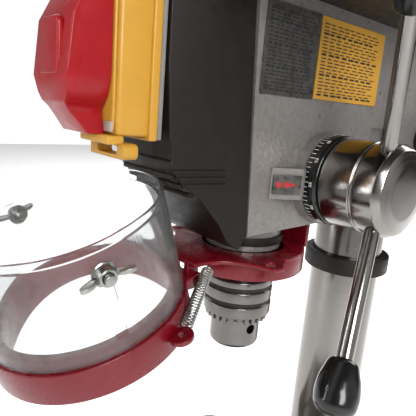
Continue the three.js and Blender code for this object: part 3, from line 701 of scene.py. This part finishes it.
def cover_piece():
    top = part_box("front_cover")[1].z / MM
    profile = [
        (-203.2, top), (-256, top), (-255.5, 683.6), (-252.4, 641.5), (-250.6, 641), (-250.2, 631),
        (-251.8, 630.4), (-248.8, 624), (-237.6, 612.6), (-231.5, 608.8), (-215, 590.5), (-208.3, 579.4),
        (-199, 572.5), (-193.3, 581.5)]
    vertices = []
    for side in (-1, 1):
        vertices += [Vector((side * cover_half(y), y, z)) * MM for y, z in profile]
    count = len(profile)
    faces = [list(range(count)), list(range(2 * count - 1, count - 1, -1))]
    faces += [[i, (i + 1) % count, count + (i + 1) % count, count + i] for i in range(count)]
    shell = soften(mesh_object("cover_shell", vertices, faces), 2.2, 4, 25)
    ribs = []
    for z in (616.5, 620.6, 624.7):
        for side in (-1, 1):
            y0 = -241 + (616.5 - z)
            corners = []
            for y, lift in ((y0, 0.0), (y0, 1.3), (-214, 1.3), (-214, 0.0)):
                corners.append((side * (cover_half(y) - 0.6 + lift * 1.3), y))
            ribs.append(prism("rib", corners, z - 0.9, z + 0.9, "XY", 0.35))
    for y, z in ((-246.4, 621.6), (-240.8, 615.8), (-234, 610.4)):
        half = cover_half(y) - 3
        ribs.append(prism("rib", [(y - 1.6, z - 2.2), (y + 1, z - 2.2), (y + 1, z + 1.2), (y - 1.6, z + 0.6)],
                          -half, half, "YZ", 0.5))
    dress(merge("belt_cover_front", shell, *ribs), BLACK, "black_plastic", "frame", "front_cover")


def switch_pieces():
    low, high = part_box("switch_housing")
    front = SWITCH_FRONT
    top = high.z / MM - 2
    body = block("switch_body", (-26, 26), (front, -262), (643.5, top), 2.2)
    flange = block("switch_flange", (-28, 28), (-265, -259.5), (641.5, top + 2), 1.0)
    face = block("switch_face", (-23, 23), (front - 1.2, front + 1), (646.5, top - 3), 1.0)
    shelf = block("shelf", (-6, 27), (front - 5.5, front + 4), (639.2, 643.9), 1.0)
    hasp_outline = rounded([(-7, 631.5), (31, 631.5), (31, 640), (-7, 640)], 3.4, 5)
    hasp = prism("hasp", hasp_outline, -282, -273, "XZ", 0.8)
    slot = prism("slot", rounded(oblong(2, 24, 633.7, 638.7), 2.2, 4), -300, -250, "XZ")
    dress(merge("switch_box", body, flange, face, shelf, carve(hasp, slot)),
          YELLOW, "yellow_plastic", "frame", "switch_housing")
    side = rounded([(-285, 719), (-296, 719), (-306, 700), (-309, 672), (-307, 659), (-300, 650.5),
                    (-294.5, 643.6), (-285.2, 643.6)], 5, 5)
    flap = prism("flap", side, -22, 22, "YZ")
    front_half = [(22, 725), (22, 672), (19, 663), (12.5, 656), (14, 650), (17, 640)]
    face = rounded(front_half + [(-x, z) for x, z in reversed(front_half)], 7, 6)
    flap = soften(carve(flap, prism("face", face, -320, -280, "XZ"), operation="INTERSECT"), 2.2)
    hollow = prism("hollow", [(-280, 714), (-292, 714), (-302, 699), (-305, 676), (-280, 676)], -18, 18, "YZ")
    flap = carve(flap, hollow)
    grip = prism("grip", rounded(oblong(-12, 12, 672, 700), 5, 5), -309.2, -306, "XZ", 1.2)
    dress(merge("stop_flap", flap, grip), RED, "red_plastic", "flap", "switch_flap")
    for name, material, slot_name, body_name in (
            ("start_button", GREEN, "green_plastic", "start"), ("stop_button", RED, "red_plastic", "stop")):
        low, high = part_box(name)
        centre = Vector(((low.x + high.x) / 2, high.y, (low.z + high.z) / 2))
        depth = (high.y - low.y) / MM
        outline = [(0, 0), (8, 0), (8, depth - 1), (7, depth), (4, depth - 0.6), (0, depth - 0.8)]
        button = turned(f"{name}_cap", outline, centre, (0, -1, 0), 0.8, 48)
        dress(button, material, slot_name, body_name, name)
    low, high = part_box("switch_gasket")
    x, y, z = ((low[i] / MM, high[i] / MM) for i in range(3))
    y = (-259.3, y[1])
    plate = block("rating_plate", (15, 24), (front - 2, front - 1.2), (645.5, 651), 0.2)
    dress(plate, PLATE_GREY, "aluminium", "frame")
    dress(block("gasket", x, y, z, 1.0), FOAM, "gasket_foam", "frame", "switch_gasket")


def label_pieces():
    for name, plate_material, slot_name in (
            ("data_label", DARK_METAL, "black_plastic"), ("warning_label", YELLOW, "yellow_plastic")):
        low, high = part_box(name)
        x = high.x / MM
        y = (low.y / MM, high.y / MM)
        z = (low.z / MM, high.z / MM)
        plate = prism(f"{name}_plate", rounded(oblong(*y, *z), 2, 4), low.x / MM, x, "YZ")
        dress(plate, plate_material, slot_name, "frame", name)
        lines = []
        rows = 22
        pitch = (z[1] - z[0] - 5) / rows
        for row in range(rows):
            level = z[0] + 2.5 + row * pitch
            lengths = [0.96, 0.9, 0.97, 0.86, 0.93][row % 5]
            start = y[0] + 3
            reach = (y[1] - y[0] - 6) * lengths
            thick = pitch * (0.34 if row % 6 else 0.62)
            dashes = 9
            for dash in range(dashes):
                left = start + reach * dash / dashes
                right = left + reach / dashes * (0.62 + 0.3 * ((dash * 7 + row * 3) % 5) / 5)
                lines.append(prism("line", oblong(left, right, level, level + thick), x, x + 0.06, "YZ"))
        dress(merge(f"{name}_lines", *lines), BLACK_INK, slot_name, "frame")
    plate = frame["nodes"]["pointer_plate"]
    plate.data.materials.clear()
    plate.data.materials.append(PLATE_METAL)
    low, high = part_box("pointer_plate")
    tilt = Matrix.Translation((low + high) / 2) @ Matrix.Rotation(-math.atan2(10.5, 20), 4, "Z")
    dot = prism("dot", circle(-5.8, 0, 2.1, 28), 0.5, 0.58, "YZ")
    arrow = prism("arrow", [(-2.2, -2.3), (7, 0), (-2.2, 2.3)], 0.5, 0.58, "YZ")
    for mark in (dot, arrow):
        mark.data.transform(tilt)
    dress(merge("pointer_mark", dot, arrow), RED_INK, "red_plastic", "frame")


# Feed: dial, hub and handles

def feed_pieces():
    inner = DIAL_LOW.x / MM
    centre = Vector((0, DIAL.y, DIAL.z))
    ring = turned("dial_ring", [(10.8, inner), (32, inner), (32.5, inner + 0.8), (32.5, inner + 8.5),
                                (31.2, inner + 10.6),
                                (22, inner + 10.9), (10.8, inner + 10.9)], centre, (1, 0, 0), 0.6)
    dress(ring, GLOSS_BLACK, "black_plastic", "depth_dial", "depth_ring")
    marks = []
    for i in range(60):
        turn = Matrix.Translation(centre) @ Matrix.Rotation(2 * math.pi * i / 60, 4, "X")
        length = 4.4 if i % 5 == 0 else 3.4
        tick = block("tick", (inner + 0.9, inner + 0.9 + length), (-0.17, 0.17), (32.4, 32.58), 0)
        tick.data.transform(turn)
        marks.append(tick)
    all_strokes = ((0, 2.1, 0.62, -0.34), (0, 2.1, -0.34, 0.62), (0, 0.3, 0.6, 0.6), (0.9, 1.2, 0.6, 0.6),
                   (1.8, 2.1, 0.6, 0.6))
    for i in range(12):
        turn = Matrix.Translation(centre) @ Matrix.Rotation(2 * math.pi * (i + 0.08) / 12, 4, "X")
        for y in (-0.9, 0.9):
            strokes = all_strokes[(i + int(y > 0)) % 2:]
            digit = merge("digit", *[
                block("stroke", (inner + 6 + start, inner + 6 + end), (y - before, y + after),
                      (32.45, 32.6), 0)
                for start, end, before, after in strokes])
            digit.data.transform(turn)
            marks.append(digit)
    dress(merge("dial_marks", *marks), INK, "black_plastic", "depth_dial")
    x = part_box("feed_hub")[0].x / MM
    hub = turned("hub", [(0, x), (30.4, x), (31, x + 2), (31, x + 23.4), (29.6, x + 24), (29.6, x + 25.4),
                         (31, x + 26),
                         (31, x + 40), (28, x + 44.5), (18, x + 46.6), (0, x + 47.2)], centre, (1, 0, 0), 0.8)
    dress(hub, CHROME, "chrome", "feed", "feed_hub")
    lean = HANDLE_LEAN
    start = Vector((88 * MM, DIAL.y, DIAL.z))
    for i in range(3):
        turn = math.radians(FIRST_HANDLE + 120 * i)
        along = Vector((math.sin(lean), math.cos(lean) * math.cos(turn), math.cos(lean) * math.sin(turn)))
        rod = turned(f"rod_{i + 1}", [(0, 13), (5, 13), (5, 113), (0, 113)], start, along, 0.6, 40)
        dress(rod, CHROME, "chrome", "feed", f"handle_rod_{i + 1}")
        outline = [(0, 113.3), (7.5, 113.3), (9, 115), (12, 124), (13, 132), (12, 139.5), (8, 144), (0, 145)]
        knob = turned(f"knob_{i + 1}", outline, start, along, 2.2, 48)
        dress(knob, GLOSS_BLACK, "black_plastic", "feed", f"handle_knob_{i + 1}")
    cap = turned("spring_cap", [(29.5, -44.3), (32, -44.3), (32, -60), (29, -63.5), (10, -64), (0, -64),
                                (0, -61), (29.5, -61)], centre, (1, 0, 0), 1.5)
    dress(cap, BLACK, "casting", "frame", "return_spring_cap")


# Belt case, pulleys and motor

def belt_outline(front_radius, back_radius, count=28):
    front, back = SPINDLE.y / MM, 150
    lean = math.degrees(math.asin((front_radius - back_radius) / (back - front)))
    return (circle(0, back, back_radius, count, lean, 180 - lean)
            + circle(0, front, front_radius, count, 180 - lean, 360 + lean))


def drive_pieces():
    z0, z1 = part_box("belt_pan")[0].z / MM, PAN_TOP
    pan = prism("pan", belt_outline(98, 86), z0, z1)
    shaft_slot = circle(0, 154, 21, 24, 0, 180) + circle(0, 132, 21, 24, 180, 360)
    pan = soften(carve(pan, prism("inside", belt_outline(95, 83), z0 + 3, z1 + 5),
                       prism("hole", circle(0, SPINDLE.y / MM, 24), z0 - 5, z0 + 5),
                       prism("slot", shaft_slot, z0 - 5, z0 + 5)), 0.8)
    lugs = [block("lug", (-104, -88), (y - 9, y + 9), (753, 764), 1) for y in (-45, 45)]
    barrels = [turned("barrel", oblong(3.2, 6, y - 9, y + 9), LID_HINGE, (0, 1, 0), 0.6, 40)
               for y in (-45, 45)]
    dress(merge("belt_tray", pan, *lugs, *barrels), BLACK, "black_plastic", "frame", "belt_pan")
    low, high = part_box("belt_lid")
    top = high.z / MM
    lid = prism("lid", belt_outline(98, 86), z1 + 0.3, top)
    lid = soften(lid, 9, 6, 50)
    lid = carve(lid, prism("inside", belt_outline(95, 83), z1 - 5, top - 12))
    panel = soften(prism("panel", belt_outline(80, 68), top - 6, top + 0.0), 1.5)
    bars = [block("knuckle", (-104, -87), (y, y + 17.7), (766, 777), 1) for y in (-72, 54.3)]
    bars += [turned("barrel", oblong(3.2, 6, y, y + 17.7), LID_HINGE, (0, 1, 0), 0.6, 40)
             for y in (-72, 54.3)]
    dress(merge("belt_cover_lid", lid, panel, *bars), BLACK, "black_plastic", "lid", "belt_lid")
    low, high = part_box("lid_knob")
    centre = Vector(((low.x + high.x) / 2, (low.y + high.y) / 2, low.z))
    grip_outline = [(0, 0), (5, 0), (4.5, 6), (9, 9), (10, 13), (8, 17), (0, 17.7)]
    knob = turned("lid_grip", grip_outline, centre, (0, 0, 1), 1.5, 48)
    dress(knob, GLOSS_BLACK, "black_plastic", "lid", "lid_knob")

    for name, radii, y, body_name, bore in (
            ("spindle_pulley", (62, 52, 42, 32), SPINDLE.y, "front_pulley", 8.3),
            ("motor_pulley", (32, 42, 52, 62), 0.15, "rear_pulley", 0)):
        outline = []
        for step, radius in enumerate(radii):
            z = 744 + 13 * step
            outline += [(radius, z), (radius, z + 1.6), (radius - 6, z + 5.2), (radius - 6, z + 7.8),
                        (radius, z + 11.4), (radius, z + 13)]
        outline += [(bore, 796), (bore, 744)]
        parts = [turned(name, outline, Vector((0, y, 0)), radius=0.3, segments=64)]
        if not bore:
            parts.append(turned("shaft", oblong(0, 8, 724.5, 746), Vector((0, y, 0)), segments=32))
        dress(merge(f"{name}_cone", *parts), ALUMINIUM, "aluminium", body_name, name)
    inside = prism("inside", belt_outline(50.2, 40.2), 750, 780)
    belt = carve(prism("belt", belt_outline(55, 45), 760.5, 766.5), inside)
    dress(belt, RUBBER, "belt_rubber", "frame", "drive_belt")

    low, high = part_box("motor")
    z0, z1 = low.z / MM, high.z / MM
    centre = Vector((0, (low.y + high.y) / 2, 0))
    outline = [(0, z0), (20, z0), (54, z0 + 1), (65, z0 + 9), (66, z0 + 24), (68, z0 + 25)]
    for k in range(9):
        z = z0 + 32 + k * 11
        outline += [(68, z), (66.6, z + 0.8), (66.6, z + 2.4), (68, z + 3.2)]
    outline += [(68, z1 - 24), (66, z1 - 23), (66, z1 - 9), (54, z1 - 1), (12, z1), (12, z1 - 4), (0, z1 - 4)]
    dress(turned("motor_case", outline, centre, radius=0.5), BLACK, "black_plastic", "motor_unit", "motor")


camera()
studio()
keep_nodes()
column_pieces()
chuck_pieces()
guard_pieces()
spring_pieces()
bracket_piece()
cover_piece()
switch_pieces()
label_pieces()
feed_pieces()
drive_pieces()
